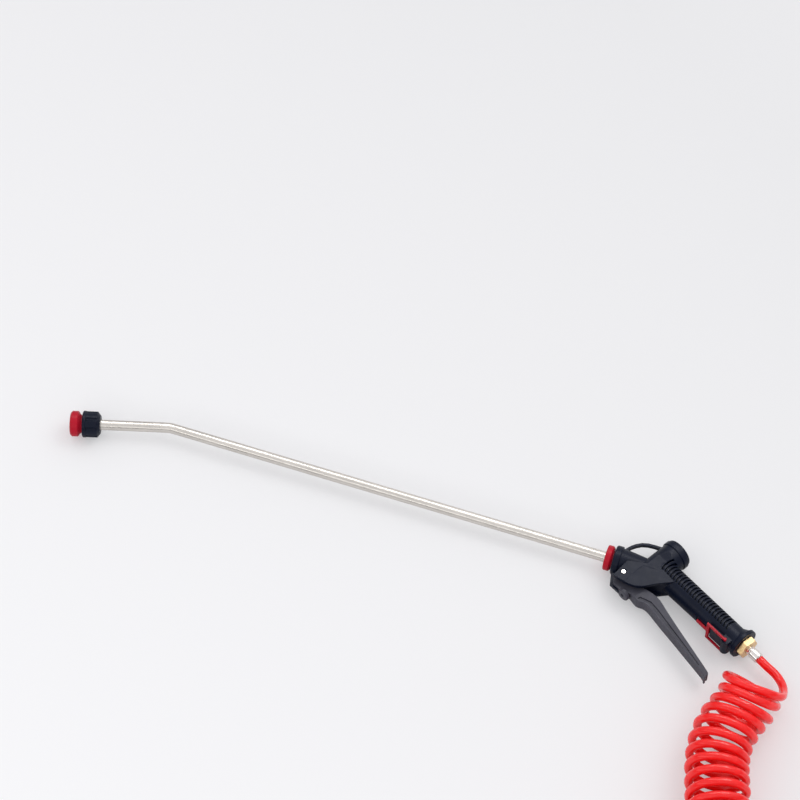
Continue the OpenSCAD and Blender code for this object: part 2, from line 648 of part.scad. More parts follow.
// hose geometry, in the gun frame with z from the floor
function mix4(p, u) = let (u2 = u * u, u3 = u2 * u) 0.5 * (2 * p[1] + (p[2] - p[0]) * u
    + (2 * p[0] - 5 * p[1] + 4 * p[2] - p[3]) * u2 + (3 * p[1] - p[0] - 3 * p[2] + p[3]) * u3);
function pick(list, i) = let (n = len(list)) i < 0 ? 2 * list[0] - list[1]
    : i > n - 1 ? 2 * list[n - 1] - list[n - 2] : list[i];
function spline(list, x) = let (i = min(max(floor(x), 0), len(list) - 2))
    mix4([for (k = [-1:2]) pick(list, i + k)], x - i);
coil_last = len(coil_axis) - 1;
function coil_heading(t) = t - 0.25 > coil_last ? coil_turn[coil_last]
    : spline(coil_turn, max(t - 0.25, 0)) + min(t - 0.25, 0) * (coil_turn[1] - coil_turn[0]);
function along(a) = [cos(a), sin(a)];
function coil_centre(t) = let (x = t - 0.25) x > coil_last
    ? coil_axis[coil_last] + along(coil_turn[coil_last]) * (coil_pitch * (x - coil_last)
        + coil_tail * pow(max(t - coil_turns, 0), 2))
    : x < 0 ? coil_axis[0] + (coil_axis[1] - coil_axis[0]) * x : spline(coil_axis, x);
function radial(t) = let (a = coil_heading(t), w = 360 * t,
    l = coil_lean * exp(-t / coil_settle), f = along(a) * l * sin(w), n = [-sin(a), cos(a)] * cos(w))
    [f[0] + n[0], f[1] + n[1], sin(w)];
function coil(t) = let (c = coil_centre(t)) [c[0], c[1], coil_z] + coil_r * radial(t);
function unit(v) = v / norm(v);
function coil_dir(t) = unit(coil(t + 0.001) - coil(t - 0.001));

coil_start = coil(coil_t0) - hose_d * coil_dir(coil_t0);
coil_end = coil(coil_t1) + hose_d * coil_dir(coil_t1);
coil_steps = ceil((coil_t1 - coil_t0) * coil_rings);
function coil_t(i) = coil_t0 + (coil_t1 - coil_t0) * i / coil_steps;
coil_path = concat([coil_start], [for (i = [0:coil_steps]) coil(coil_t(i))], [coil_end]);
coil_refs = concat([radial(coil_t0)], [for (i = [0:coil_steps]) radial(coil_t(i))], [radial(coil_t1)]);

inlet_dir = [cos(grip_angle), -sin(grip_angle), 0];
function inlet_pt(s) = [s * cos(grip_angle) + inlet_t * sin(grip_angle),
    inlet_t * cos(grip_angle) - s * sin(grip_angle), side_h];
lead_nodes = concat([inlet_pt(hose_nut_s1 + 1)], lead_pts, [coil_start - hose_d * coil_dir(coil_t0)]);
lead_path = concat([inlet_pt(hose_s0)], [for (i = [0:24]) spline(lead_nodes, i * (len(lead_nodes) - 1) / 24)],
    [coil_start]);
lead_ref = [1, 0.3, 0.4];

// a tube along a path: each ring is square to the path and keeps to its reference direction
function path_dir(p, i) = i == 0 ? unit(p[1] - p[0]) : i == len(p) - 1 ? unit(p[i] - p[i - 1])
    : i == 1 ? unit(p[1] - p[0]) : i == len(p) - 2 ? unit(p[i + 1] - p[i])
    : unit(unit(p[i + 1] - p[i]) + unit(p[i] - p[i - 1]));
module tube(path, refs, r, sides) {
    n = len(path);
    points = [for (i = [0:n - 1]) let (d = path_dir(path, i), v = refs[i], u = unit(v - (v * d) * d),
        w = cross(d, u)) for (k = [0:sides - 1]) path[i] + r * (cos(360 * k / sides) * u
        + sin(360 * k / sides) * w)];
    skin = [for (i = [0:n - 2]) for (k = [0:sides - 1]) let (a = i * sides + k,
        b = i * sides + (k + 1) % sides) each [[a, b + sides, b], [a, a + sides, b + sides]]];
    first = [for (k = [1:sides - 2]) [0, k, k + 1]];
    last = [for (k = [1:sides - 2]) let (o = (n - 1) * sides) [o, o + k + 1, o + k]];
    polyhedron(points, concat(skin, first, last), convexity = 8);
}

// least gap of the coil to itself, on its rings and the middles between them
coil_test = [for (i = [0:2 * coil_steps]) coil(coil_t0 + (coil_t1 - coil_t0) * i / (2 * coil_steps))];
coil_gap = min([for (i = [0:len(coil_test) - 1]) for (j = [i + coil_rings:min(i + 5 * coil_rings,
    len(coil_test) - 1)]) norm(coil_test[i] - coil_test[j])]) - hose_d;
lead_gap = min([for (p = [for (i = [0:len(lead_path) - 4]) lead_path[i]]) for (i = [4:8 * coil_rings])
    norm(p - coil_test[i])]) - hose_d;
echo(coil_gap = coil_gap, lead_gap = lead_gap);

module on_floor() translate([cross_x, cross_y, 0]) children();
module hose_lead() color(red) on_floor() tube(lead_path, [for (p = lead_path) lead_ref], hose_r, lead_sides);
module hose_curls() color(red) on_floor() tube(coil_path, coil_refs, hose_r, coil_sides);

// the far end, measured along the hose from the end of the coil
far_dir = coil_dir(coil_t1);
module far_at(d) on_floor() translate(coil_end + far_dir * d)
    rotate([0, acos(far_dir[2]), atan2(far_dir[1], far_dir[0])]) children();
module far_nut() color(nickel) far_at(0) union() {
    drum(hose_nut_r, hose_nut_len, 0.9, 0.5);
    cylinder(r = neck_r, h = hose_nut_len + stem_len);
    translate([0, 0, hose_nut_len + stem_len - stem_collar_h]) drum(stem_collar_r, stem_collar_h, 0.4, 0.2);
}
module far_connector() color(brass) far_at(hose_nut_len + stem_len + hex_h) mirror([0, 0, 1]) fitting();

body();
valve_cap();
cap_seal();
valve_seat();
poppet();
valve_stem();
valve_spring();
stem_seal();
gland_nut();
trigger();
adjuster();
trigger_pin();
lock_clip();
clip_pin();
inlet_filter();
lance_tube();
lance_nut();
lance_ferrule();
lance_seal();
nozzle_body();
nozzle_nut();
nozzle_seal();
swirl_core();
nozzle_cap();
inlet_adapter();
inlet_washer();
hose_stem();
hose_nut();
hose_lead();
hose_curls();
far_nut();
far_connector();
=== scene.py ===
import math

import bpy
import numpy as np
from bpy.props import FloatProperty, FloatVectorProperty, IntProperty, PointerProperty
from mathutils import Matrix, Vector


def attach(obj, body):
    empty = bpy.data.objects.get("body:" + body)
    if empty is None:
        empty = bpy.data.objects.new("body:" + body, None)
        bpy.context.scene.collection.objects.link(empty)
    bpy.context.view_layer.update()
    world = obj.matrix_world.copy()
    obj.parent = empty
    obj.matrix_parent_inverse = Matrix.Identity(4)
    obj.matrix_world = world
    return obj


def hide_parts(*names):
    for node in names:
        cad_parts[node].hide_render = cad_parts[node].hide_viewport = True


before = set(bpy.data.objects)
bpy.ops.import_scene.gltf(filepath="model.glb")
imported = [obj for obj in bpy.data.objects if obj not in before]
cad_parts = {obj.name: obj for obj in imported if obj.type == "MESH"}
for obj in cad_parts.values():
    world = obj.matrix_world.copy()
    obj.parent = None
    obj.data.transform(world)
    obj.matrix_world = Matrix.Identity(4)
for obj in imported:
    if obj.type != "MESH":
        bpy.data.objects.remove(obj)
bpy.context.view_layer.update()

bl_info = {
    "name": "Spray lance with coiled hose",
    "version": (1, 0, 0),
    "blender": (4, 5, 0),
    "location": "3D View > Sidebar > Spray lance",
    "description": "Dresses the spray lance's frame with its hose, finishes and stage",
    "category": "Object",
}

MM = 0.001

# Where the gun's own drawing frame stands on the floor, and its handle's tilt
CROSS = np.array([26.2306, 16.0327, 0.0])
SIDE_HEIGHT = 15.0
GRIP_TILT = math.radians(30)
INLET_SIDE = 9.0
HOSE_START = 123.0
HOSE_NUT_END = 130.0

# The coil's axis on the floor, one point for each turn until it runs straight,
# and the way it heads there, in degrees
COIL_AXIS = np.array(
    [
        (119.7, -90.2), (119.8, -106.2), (116.5, -119.8), (112.1, -131.9),
        (108.9, -145.6), (108.0, -159.8), (109.3, -172.4), (112.0, -184.3),
        (115.5, -195.9), (119.5, -208.2), (123.0, -221.0), (126.3, -233.7),
    ]
)
COIL_TURN = np.array([-97, -102, -101, -98, -95.7, -92.5, -87.8, -83.5, -79.1, -76.6, -75, -75])
COIL_LEAN = 0.86
COIL_SETTLE = 2.2
COIL_HEIGHT = 29.7
COIL_PITCH = 8.8
COIL_TAIL = 14.0
COIL_FROM = 0.2
COIL_PAST = 0.8125
LEAD_POINTS = [
    (125.4, -62, 14.5), (131.5, -64.7, 13.6), (137.3, -68.4, 13.2), (142, -73.3, 14),
    (145.6, -80, 17), (147.4, -88, 22), (147.6, -95.6, 30), (144.8, -102.4, 39.5),
    (139.8, -106.4, 46.5),
]
STRAIGHT_IN = 8.0

# The raised field of the side plate, in the handle's own frame: its corner, the
# slant of its upper edge, the height that it begins at and its relief
FIELD_CORNER = (-7.3, -8.9)
FIELD_LEFT = -7.25
FIELD_SLANT = math.radians(28.6)
FIELD_HEIGHT = 26.6
FIELD_RELIEF = 0.12

# How far the painted shade in deep places reaches
PAINTED_SHADE_REACH = 2.0


# ---------------------------------------------------------------- shapes


def through(points, x):
    """A curve through numbered points: between two of them it is the cubic whose
    slope at each point is half the step between that point's neighbours, and the
    points are carried on in a straight line past both ends."""
    points = np.asarray(points, float)
    last = len(points) - 1
    spread = np.vstack([2 * points[0] - points[1], points, 2 * points[-1] - points[-2]])
    x = np.asarray(x, float)
    i = np.clip(np.floor(x), 0, last - 1).astype(int)
    u = (x - i)[:, None]
    a, b, c, d = (spread[i + k] for k in range(4))
    return 0.5 * (
        2 * b + (c - a) * u + (2 * a - 5 * b + 4 * c - d) * u**2 + (3 * b - a - 3 * c + d) * u**3
    )


def unit(v):
    """Each row divided by its own length."""
    return v / np.linalg.norm(v, axis=-1, keepdims=True)


def coil_heading(turn):
    """The coil's heading in radians: the listed headings joined by a smooth curve,
    carried on in a straight line before the first and held after the last."""
    x = np.asarray(turn, float) - 0.25
    last = len(COIL_TURN) - 1
    inside = through(COIL_TURN[:, None], np.clip(x, 0, last))[:, 0]
    inside = inside + np.minimum(x, 0) * (COIL_TURN[1] - COIL_TURN[0])
    return np.radians(np.where(x > last, COIL_TURN[-1], inside))


def coil_arm(turn):
    """The arm from the coil's axis to the hose: a circle square to the heading,
    whose top leans forward by a share that dies away with the turns."""
    turn = np.asarray(turn, float)
    heading, around = coil_heading(turn), 2 * np.pi * turn
    lean = COIL_LEAN * np.exp(-turn / COIL_SETTLE) * np.sin(around)
    return np.stack(
        [
            np.cos(heading) * lean - np.sin(heading) * np.cos(around),
            np.sin(heading) * lean + np.cos(heading) * np.cos(around),
            np.sin(around),
        ],
        axis=1,
    )


def coil_line(turn, radius, turns):
    """The hose's middle line in the coil, in millimetres: the axis point of each
    turn plus the coil's radius times the arm. Past the last listed point the axis
    is straight and advances by one pitch a turn, and after the last whole turn it
    runs away by the square of the part turn."""
    x = np.asarray(turn, float) - 0.25
    last = len(COIL_AXIS) - 1
    middle = through(COIL_AXIS, np.clip(x, 0, last))
    middle = middle + np.minimum(x, 0)[:, None] * (COIL_AXIS[1] - COIL_AXIS[0])
    end = math.radians(COIL_TURN[-1])
    ahead = np.array([math.cos(end), math.sin(end)])
    past = COIL_PITCH * np.maximum(x - last, 0) + COIL_TAIL * np.maximum(turn - turns, 0) ** 2
    middle = middle + past[:, None] * ahead
    ground = np.column_stack([middle, np.full(len(x), COIL_HEIGHT)])
    return ground + radius * coil_arm(turn)


def inlet_point(s):
    """The point at distance s along the handle, on the inlet's axis."""
    return np.array(
        [
            s * math.cos(GRIP_TILT) + INLET_SIDE * math.sin(GRIP_TILT),
            INLET_SIDE * math.cos(GRIP_TILT) - s * math.sin(GRIP_TILT),
            SIDE_HEIGHT,
        ]
    )


def hose_route(coil_radius, turns, turn_rings=44):
    """The hose's middle line from its stem to its far end, in millimetres: a curve
    through the lead's points, then the coil. Where the two meet, each point is
    drawn to the middle of its neighbours until the joint is smooth."""
    ends = np.array([COIL_FROM, turns + COIL_PAST])
    step = 0.0005
    before, after = coil_line(ends - step, coil_radius, turns), coil_line(ends + step, coil_radius, turns)
    ways = unit(after - before)
    start, finish = coil_line(ends, coil_radius, turns) + STRAIGHT_IN * ways * [[-1], [1]]
    knots = np.vstack([inlet_point(HOSE_NUT_END + 1), LEAD_POINTS, start - STRAIGHT_IN * ways[0]])
    lead = through(knots, np.linspace(0, len(knots) - 1, 60))
    turn = np.linspace(*ends, int(round((ends[1] - ends[0]) * turn_rings)))
    coil = coil_line(turn, coil_radius, turns)
    join = np.vstack([lead, start, coil[:12]])
    far = np.concatenate([[0], np.cumsum(np.linalg.norm(np.diff(join, axis=0), axis=1))])
    even = np.linspace(0, far[-1], int(far[-1] / 3.6))
    join = np.column_stack([np.interp(even, far, column) for column in join.T])
    free = np.clip(1 - np.abs(even - far[len(lead)]) / 28, 0, 1)[1:-1, None] * 0.5
    for _ in range(20):
        join[1:-1] += free * ((join[:-2] + join[2:]) / 2 - join[1:-1])
    return np.vstack([inlet_point(HOSE_START), join, coil[12:], finish]) + CROSS


def carried_ring(line, arm, radius, sides):
    """A tube: round each point of the line, a ring of the given radius that is
    square to the line there. The arm that a ring starts at is the one before it,
    turned no more than the line itself turns. Returns the points and the distance
    along the line of each ring."""
    far = np.concatenate([[0], np.cumsum(np.linalg.norm(np.diff(line, axis=0), axis=1))])
    way = unit(np.gradient(line, far, axis=0))
    up = np.empty_like(way)
    for i, ahead in enumerate(way):
        arm = arm - np.dot(arm, ahead) * ahead
        arm = up[i] = arm / np.linalg.norm(arm)
    across = np.cross(way, up)
    angle = np.linspace(0, 2 * np.pi, sides, endpoint=False)
    points = line[:, None, :] + radius * (
        np.cos(angle)[None, :, None] * up[:, None, :]
        + np.sin(angle)[None, :, None] * across[:, None, :]
    )
    return points, far


def ring_quads(rings, sides):
    """Quads between neighbouring rings, each ring closed on itself."""
    i, k = np.meshgrid(np.arange(rings - 1), np.arange(sides), indexing="ij")
    j = (k + 1) % sides
    quads = np.stack([i * sides + k, i * sides + j, (i + 1) * sides + j, (i + 1) * sides + k], -1)
    return quads.reshape(-1, 4)


def tube_mesh(name, line, arm, radius, sides):
    """A closed tube with a point in the middle of each end. Its map holds the
    distance along it in metres and the share of the way round."""
    points, far = carried_ring(line, arm, radius, sides)
    rings = len(points)
    flat = np.vstack([points.reshape(-1, 3), line[:1], line[-1:]]) * MM
    quads = ring_quads(rings, sides)
    k = np.arange(sides)
    j = (k + 1) % sides
    first = np.stack([np.full(sides, rings * sides), j, k], -1)
    base = (rings - 1) * sides
    last = np.stack([np.full(sides, rings * sides + 1), base + k, base + j], -1)
    mesh = bpy.data.meshes.new(name)
    mesh.from_pydata(flat.tolist(), [], quads.tolist() + first.tolist() + last.tolist())
    along = np.repeat(far * MM, sides)
    around = np.tile(k / sides, rings)
    u = np.concatenate([along[quads].ravel(), np.zeros(6 * sides)])
    v = around[quads]
    v[:, 1:3][v[:, 1:3] < v[:, :1]] += 1.0
    v = np.concatenate([v.ravel(), np.zeros(6 * sides)])
    layer = mesh.uv_layers.new(name="length")
    layer.data.foreach_set("uv", np.stack([u, v], -1).ravel())
    mesh.polygons.foreach_set("use_smooth", np.ones(len(mesh.polygons), bool))
    mesh.update()
    return mesh


def new_piece(name, mesh, finish, body):
    """Puts a mesh in the scene as a piece of the object that rides on a body."""
    piece = bpy.data.objects.new(name, mesh)
    bpy.context.scene.collection.objects.link(piece)
    mesh.materials.append(finish)
    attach(piece, body)
    return piece


# ---------------------------------------------------------------- finishes


class Signal:
    """One output socket of a finish. Arithmetic on it adds Math nodes."""

    def __init__(self, finish, socket):
        self.finish, self.socket = finish, socket

    def math(self, operation, *values):
        return self.finish.node(
            "ShaderNodeMath", {"operation": operation}, dict(enumerate(values))
        )

    def __add__(self, other):
        return self.math("ADD", self, other)

    def __sub__(self, other):
        return self.math("SUBTRACT", self, other)

    def __rsub__(self, other):
        return self.math("SUBTRACT", other, self)

    def __mul__(self, other):
        return self.math("MULTIPLY", self, other)

    def __truediv__(self, other):
        return self.math("DIVIDE", self, other)

    def __pow__(self, other):
        return self.math("POWER", self, other)

    def __abs__(self):
        return self.math("ABSOLUTE", self)

    __radd__, __rmul__ = __add__, __mul__

    def over(self, low, high, to_low=0.0, to_high=1.0):
        """This value carried from low..high to the new range, and held there."""
        return self.finish.node(
            "ShaderNodeMapRange",
            {"clamp": True},
            {"Value": self, "From Min": low, "From Max": high, "To Min": to_low, "To Max": to_high},
        )

    def out(self, name):
        return Signal(self.finish, self.socket.node.outputs[name])


class Finish:
    """A material and the nodes that make it."""

    def __init__(self, name):
        self.material = bpy.data.materials.new(name)
        self.material.use_nodes = True
        self.tree = self.material.node_tree
        self.tree.nodes.clear()

    def node(self, kind, settings=None, inputs=None):
        """Adds a node: its settings first, then the values or links of its sockets."""
        made = self.tree.nodes.new(kind)
        for key, value in (settings or {}).items():
            if key == "stops":
                for place, (at, colour) in enumerate(value):
                    ramp = made.color_ramp.elements
                    stop = ramp[place] if place < 2 else ramp.new(at)
                    stop.position, stop.color = at, (*colour, 1)
            else:
                setattr(made, key, value)
        for key, value in (inputs or {}).items():
            if isinstance(value, Signal):
                self.tree.links.new(value.socket, made.inputs[key])
            else:
                made.inputs[key].default_value = value
        return Signal(self, made.outputs[0] if made.outputs else None)

    def place(self, location=(0, 0, 0), turn=(0, 0, 0), scale=(1, 1, 1), source="Object"):
        """The point on the piece, moved, turned in degrees and scaled."""
        point = self.node("ShaderNodeTexCoord").out(source)
        return self.node(
            "ShaderNodeMapping",
            {"vector_type": "TEXTURE"},
            {
                "Vector": point,
                "Location": location,
                "Rotation": tuple(math.radians(a) for a in turn),
                "Scale": tuple(1 / s for s in scale),
            },
        )

    def part(self, vector, axis):
        """One component of a vector."""
        return self.node("ShaderNodeSeparateXYZ", None, {"Vector": vector}).out(axis)

    def grain(self, vector, scale, detail=2.0, roughness=0.5):
        """Smooth noise from 0 to 1, with so many cells to the metre."""
        return self.node(
            "ShaderNodeTexNoise",
            {"noise_dimensions": "3D"},
            {"Vector": vector, "Scale": scale, "Detail": detail, "Roughness": roughness},
        )

    def mix(self, share, a, b):
        """Colour a turning into colour b as the share goes from 0 to 1."""
        made = self.tree.nodes.new("ShaderNodeMix")
        made.data_type = "RGBA"
        made.clamp_factor = True
        for socket, value in ((made.inputs[0], share), (made.inputs[6], a), (made.inputs[7], b)):
            if isinstance(value, Signal):
                self.tree.links.new(value.socket, socket)
            elif isinstance(value, (int, float)):
                socket.default_value = value
            else:
                socket.default_value = (*tuple(value)[:3], 1)
        return Signal(self, made.outputs[2])

    def soft_edges(self, radius):
        """The surface's normal with every edge and corner rounded off."""
        return self.node("ShaderNodeBevel", {"samples": 6}, {"Radius": radius})

    def edge_share(self, rounded, reach):
        """0 on the flats and up to 1 on edges, from how far the rounded normal
        leans away from the true one."""
        true = self.node("ShaderNodeNewGeometry").out("Normal")
        dot = self.node(
            "ShaderNodeVectorMath", {"operation": "DOT_PRODUCT"}, {0: rounded, 1: true}
        ).out("Value")
        return (1 - dot).over(0.0, reach)

    def bump(self, height, distance, normal=None, strength=1.0):
        inputs = {"Height": height, "Distance": distance, "Strength": strength}
        if normal is not None:
            inputs["Normal"] = normal
        return self.node("ShaderNodeBump", None, inputs)

    def glow_to_camera(self, colour, share):
        """Replaces a share of the finish by its own even light, for the camera alone."""
        end = next(n for n in self.tree.nodes if n.bl_idname == "ShaderNodeOutputMaterial")
        lit = Signal(self, end.inputs["Surface"].links[0].from_socket)
        even = self.node("ShaderNodeEmission", None, {"Color": colour})
        seen = self.node("ShaderNodeLightPath").out("Is Camera Ray")
        both = self.node("ShaderNodeMixShader", None, {0: seen * share, 1: lit, 2: even})
        self.tree.links.new(both.socket, end.inputs["Surface"])

    def surface(self, **inputs):
        """Ends the finish in a Principled shader with these inputs."""
        named = {key.replace("_", " "): value for key, value in inputs.items()}
        for key, value in named.items():
            if isinstance(value, (tuple, list)) and len(value) == 3 and "Colo" in key:
                named[key] = (*value, 1)
        shader = self.node("ShaderNodeBsdfPrincipled", None, named)
        self.node("ShaderNodeOutputMaterial", None, {"Surface": shader})
        return self.material


def lighter(colour, by):
    """The colour times a number, kept below 1."""
    return tuple(min(1.0, c * by) for c in tuple(colour)[:3])


def moulded(
    name, colour, rough=0.42, grain=1.0, edge=0.55, coat=0.0, wear=1.6, cloud=0.12,
    shine=0.15, field=None,
):
    """Moulded plastic: a fine eroded grain, slow changes of shade and gloss, edges
    rounded off and rubbed a little lighter, painted shade darkening deep places,
    and sparse fine dust. A field gives the share of a raised part of the surface."""
    f = Finish(name)
    at = f.place()
    rounded = f.soft_edges(edge * MM)
    worn = f.edge_share(rounded, 0.3)
    slow = f.grain(at, 55, 3)
    patch = f.grain(at, 190, 4, 0.62)
    fine = f.grain(at, 2600, 2, 0.6)
    dust = f.grain(at, 5200, 0).over(0.74, 0.79) * f.grain(at, 160, 2).over(0.46, 0.62)
    body = f.mix(slow.over(0.3, 0.7), lighter(colour, 1 - cloud), lighter(colour, 1 + cloud))
    body = f.mix(worn * patch.over(0.35, 0.6) * 0.55, body, lighter(colour, wear))
    body = f.mix(dust * 0.18, body, (0.32, 0.31, 0.3))
    gloss = patch.over(0.3, 0.7, rough - 0.05, rough + 0.07) - worn * 0.06
    relief = fine * 0.7 + patch * 0.5
    normal = f.bump(relief, 0.028 * grain * MM, rounded, 0.8)
    # Painted shade: ambient occlusion darkens the colour in grooves, recesses and between parts, where
    # shade falls.
    painted_cavity_shade = 1 - f.node(
        "ShaderNodeAmbientOcclusion",
        {"samples": 6, "only_local": True},
        {"Distance": PAINTED_SHADE_REACH * MM},
    ).out("AO")
    body = f.mix(painted_cavity_shade.over(0.35, 0.75) * 0.85, body, lighter(colour, 0.12))
    if field:
        normal = f.bump(field(f), FIELD_RELIEF * MM, normal)
    return f.surface(
        Base_Color=body,
        Roughness=gloss,
        Specular_IOR_Level=shine,
        Coat_Weight=coat,
        Coat_Roughness=0.12,
        Normal=normal,
    )


def plate_creases(f):
    """1 inside the raised field of the gun's side plate and 0 outside it: the field
    lies below a slanting line and right of an upright one, and fades rearwards."""
    at = f.place(location=tuple(CROSS * MM), turn=(0, 0, -30))
    s, t = f.part(at, "X"), f.part(at, "Y")
    along, across = s - FIELD_CORNER[0] * MM, t - FIELD_CORNER[1] * MM
    below = along * math.sin(FIELD_SLANT) - across * math.cos(FIELD_SLANT)
    inside = below.math("MINIMUM", below, s - FIELD_LEFT * MM)
    upper = f.part(f.place(), "Z").over(FIELD_HEIGHT * MM, (FIELD_HEIGHT + 0.6) * MM)
    return inside.over(-0.35 * MM, 0.35 * MM) * s.over(2 * MM, 9 * MM, 1, 0) * upper


def drawn_steel(name, colour):
    """Stainless tube: fine marks drawn along it, broken by short rubbed patches."""
    f = Finish(name)
    straight = f.place(scale=(5, 1700, 1700))
    tip = f.place(turn=(0, 0, 16.2), scale=(5, 1700, 1700))
    where = f.part(f.place(), "X")
    on_tip = where.over(-0.476, -0.470, 1, 0)
    lines = f.grain(straight, 1, 3, 0.7) * (1 - on_tip) + f.grain(tip, 1, 3, 0.7) * on_tip
    rubbed = f.grain(f.place(scale=(40, 160, 160)), 1, 4, 0.6)
    tone = lines.over(0.3, 0.7) * 0.6 + rubbed.over(0.35, 0.65) * 0.4
    body = f.mix(tone, lighter(colour, 0.86), lighter(colour, 1.08))
    rounded = f.soft_edges(0.3 * MM)
    return f.surface(
        Base_Color=body,
        Metallic=1.0,
        Roughness=tone.over(0, 1, 0.22, 0.36),
        Normal=f.bump(lines, 0.006 * MM, rounded, 0.6),
    )


def turned_metal(name, colour, rough, marks=0.004, dull=(0.5, 0.45, 0.4), edge=0.25):
    """Metal turned on a lathe along the inlet: rings of fine tool marks, rounded
    edges and small dull stains."""
    f = Finish(name)
    at = f.place(turn=(0, 0, -30))
    along = f.part(at, "X")
    rings = f.node(
        "ShaderNodeTexNoise", {"noise_dimensions": "1D"},
        {"W": along, "Scale": 5200, "Detail": 3, "Roughness": 0.7},
    )
    stain = f.grain(at, 300, 4, 0.6).over(0.5, 0.72)
    rounded = f.soft_edges(edge * MM)
    worn = f.edge_share(rounded, 0.25)
    body = f.mix(rings.over(0.3, 0.7), lighter(colour, 0.93), lighter(colour, 1.05))
    body = f.mix(stain * 0.35, body, tuple(c * d for c, d in zip(colour, dull)))
    body = f.mix(worn * 0.5, body, lighter(colour, 1.25))
    return f.surface(
        Base_Color=body,
        Metallic=1.0,
        Roughness=rings.over(0.3, 0.7, rough, rough + 0.09) + stain * 0.1,
        Normal=f.bump(rings, marks * MM, rounded, 0.7),
    )


def clear_hose(name, colour):
    """Polyurethane hose: wet-looking skin over a clear red wall, with faint lines
    drawn by the die along its length and soft scuffs."""
    f = Finish(name)
    length = f.node("ShaderNodeTexCoord").out("UV")
    lines = f.node(
        "ShaderNodeMapping", None, {"Vector": length, "Scale": (2.5, 16.0, 1.0)}
    )
    drawn = f.grain(lines, 1.0, 2)
    at = f.place()
    slow = f.grain(at, 45, 2)
    scuff = f.grain(at, 420, 3, 0.65)
    body = f.mix(slow.over(0.3, 0.7), lighter(colour, 0.86), lighter(colour, 1.06))
    body = f.mix(scuff.over(0.58, 0.75) * 0.1, body, (0.9, 0.2, 0.17))
    return f.surface(
        Base_Color=body,
        Roughness=scuff.over(0.35, 0.75, 0.1, 0.16),
        IOR=1.5,
        Subsurface_Weight=0.7,
        Subsurface_Radius=(1.0, 0.12, 0.1),
        Subsurface_Scale=0.005,
        Specular_IOR_Level=0.42,
        Normal=f.bump(drawn * 0.8 + scuff * 0.15, 0.004 * MM, None, 0.5),
    )


def plain_rubber(name, colour):
    """Matt rubber with a fine bloom on it."""
    f = Finish(name)
    at = f.place()
    bloom = f.grain(at, 700, 4, 0.65)
    body = f.mix(bloom.over(0.4, 0.75) * 0.5, colour, lighter(colour, 2.2))
    return f.surface(
        Base_Color=body,
        Roughness=bloom.over(0.3, 0.7, 0.66, 0.84),
        Normal=f.bump(bloom, 0.03 * MM, f.soft_edges(0.2 * MM), 0.6),
    )


FINISHES = {}


def finish(name, make, *values, **settings):
    """The named finish, made the first time that it is asked for."""
    if name not in FINISHES:
        FINISHES[name] = make(name, *values, **settings)
    return FINISHES[name]


def coat_nodes(finished, slot, *names):
    """Gives CAD nodes a finish in a material slot of their own; the slot argument is not used."""
    for name in names:
        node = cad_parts[name]
        node.data.materials.clear()
        node.data.materials.append(finished)


# ---------------------------------------------------------------- settings


def size(name, text, default, low, high):
    return FloatProperty(
        name=name, description=text, default=default, min=low, max=high, unit="LENGTH", precision=4
    )


def shade(name, text, default):
    return FloatVectorProperty(
        name=name, description=text, default=default, size=3, min=0, max=1, subtype="COLOR"
    )


class LanceHoseSettings(bpy.types.PropertyGroup):
    diameter: size("Hose diameter", "Outside diameter of the hose", 0.008, 0.005, 0.012)
    coil_radius: size("Coil radius", "From the coil's axis to the hose's middle", 0.0257, 0.02, 0.04)
    turns: IntProperty(name="Turns", description="Whole turns in the coil", default=36, min=12, max=60)
    sides: IntProperty(name="Sides", description="Faces round the hose", default=20, min=8, max=32)
    colour: shade("Hose colour", "Colour of the hose's wall", (1.0, 0.012, 0.012))


class LancePlasticSettings(bpy.types.PropertyGroup):
    black: shade("Gun colour", "Colour of the handle, caps and nozzle nut", (0.0035, 0.0065, 0.019))
    grey: shade("Trigger colour", "Colour of the trigger", (0.056, 0.056, 0.073))
    red: shade("Red parts", "Colour of the lock nut, clip and nozzle cap", (0.46, 0.006, 0.022))
    white: shade("Washers", "Colour of the washers and the filter", (0.78, 0.76, 0.7))


class LanceMetalSettings(bpy.types.PropertyGroup):
    steel: shade("Steel", "Colour of the lance tube and the pins", (0.67, 0.635, 0.59))
    nickel: shade("Nickel", "Colour of the plated hose fittings", (0.8, 0.765, 0.735))
    brass: shade("Brass", "Colour of the inlet adapter", (0.83, 0.6, 0.31))


class LanceStageSettings(bpy.types.PropertyGroup):
    lens: FloatProperty(
        name="Lens", description="Focal length of the camera", default=144.0, min=20, max=300,
        unit="CAMERA",
    )
    key_power: FloatProperty(
        name="Main lamp", description="Power of the large overhead lamp in watts", default=10.0,
        min=0, max=200,
    )
    fill_power: FloatProperty(
        name="Front lamp", description="Power of the low front lamp in watts", default=5.0,
        min=0, max=200,
    )
    side_power: FloatProperty(
        name="Left lamp", description="Power of the lamp on the near left in watts", default=3.5,
        min=0, max=200,
    )
    back_power: FloatProperty(
        name="Back lamp", description="Power of the long low lamp behind in watts", default=5.0,
        min=0, max=200,
    )
    strip_power: FloatProperty(
        name="Strip", description="Power of the strip that only gloss reflects, in watts",
        default=24.0, min=0, max=200,
    )
    sky: FloatProperty(
        name="Room light", description="Strength of the pale room all round", default=0.9,
        min=0, max=2,
    )
    floor: shade("Floor", "Colour of the floor", (0.86, 0.86, 0.872))


# ---------------------------------------------------------------- pieces


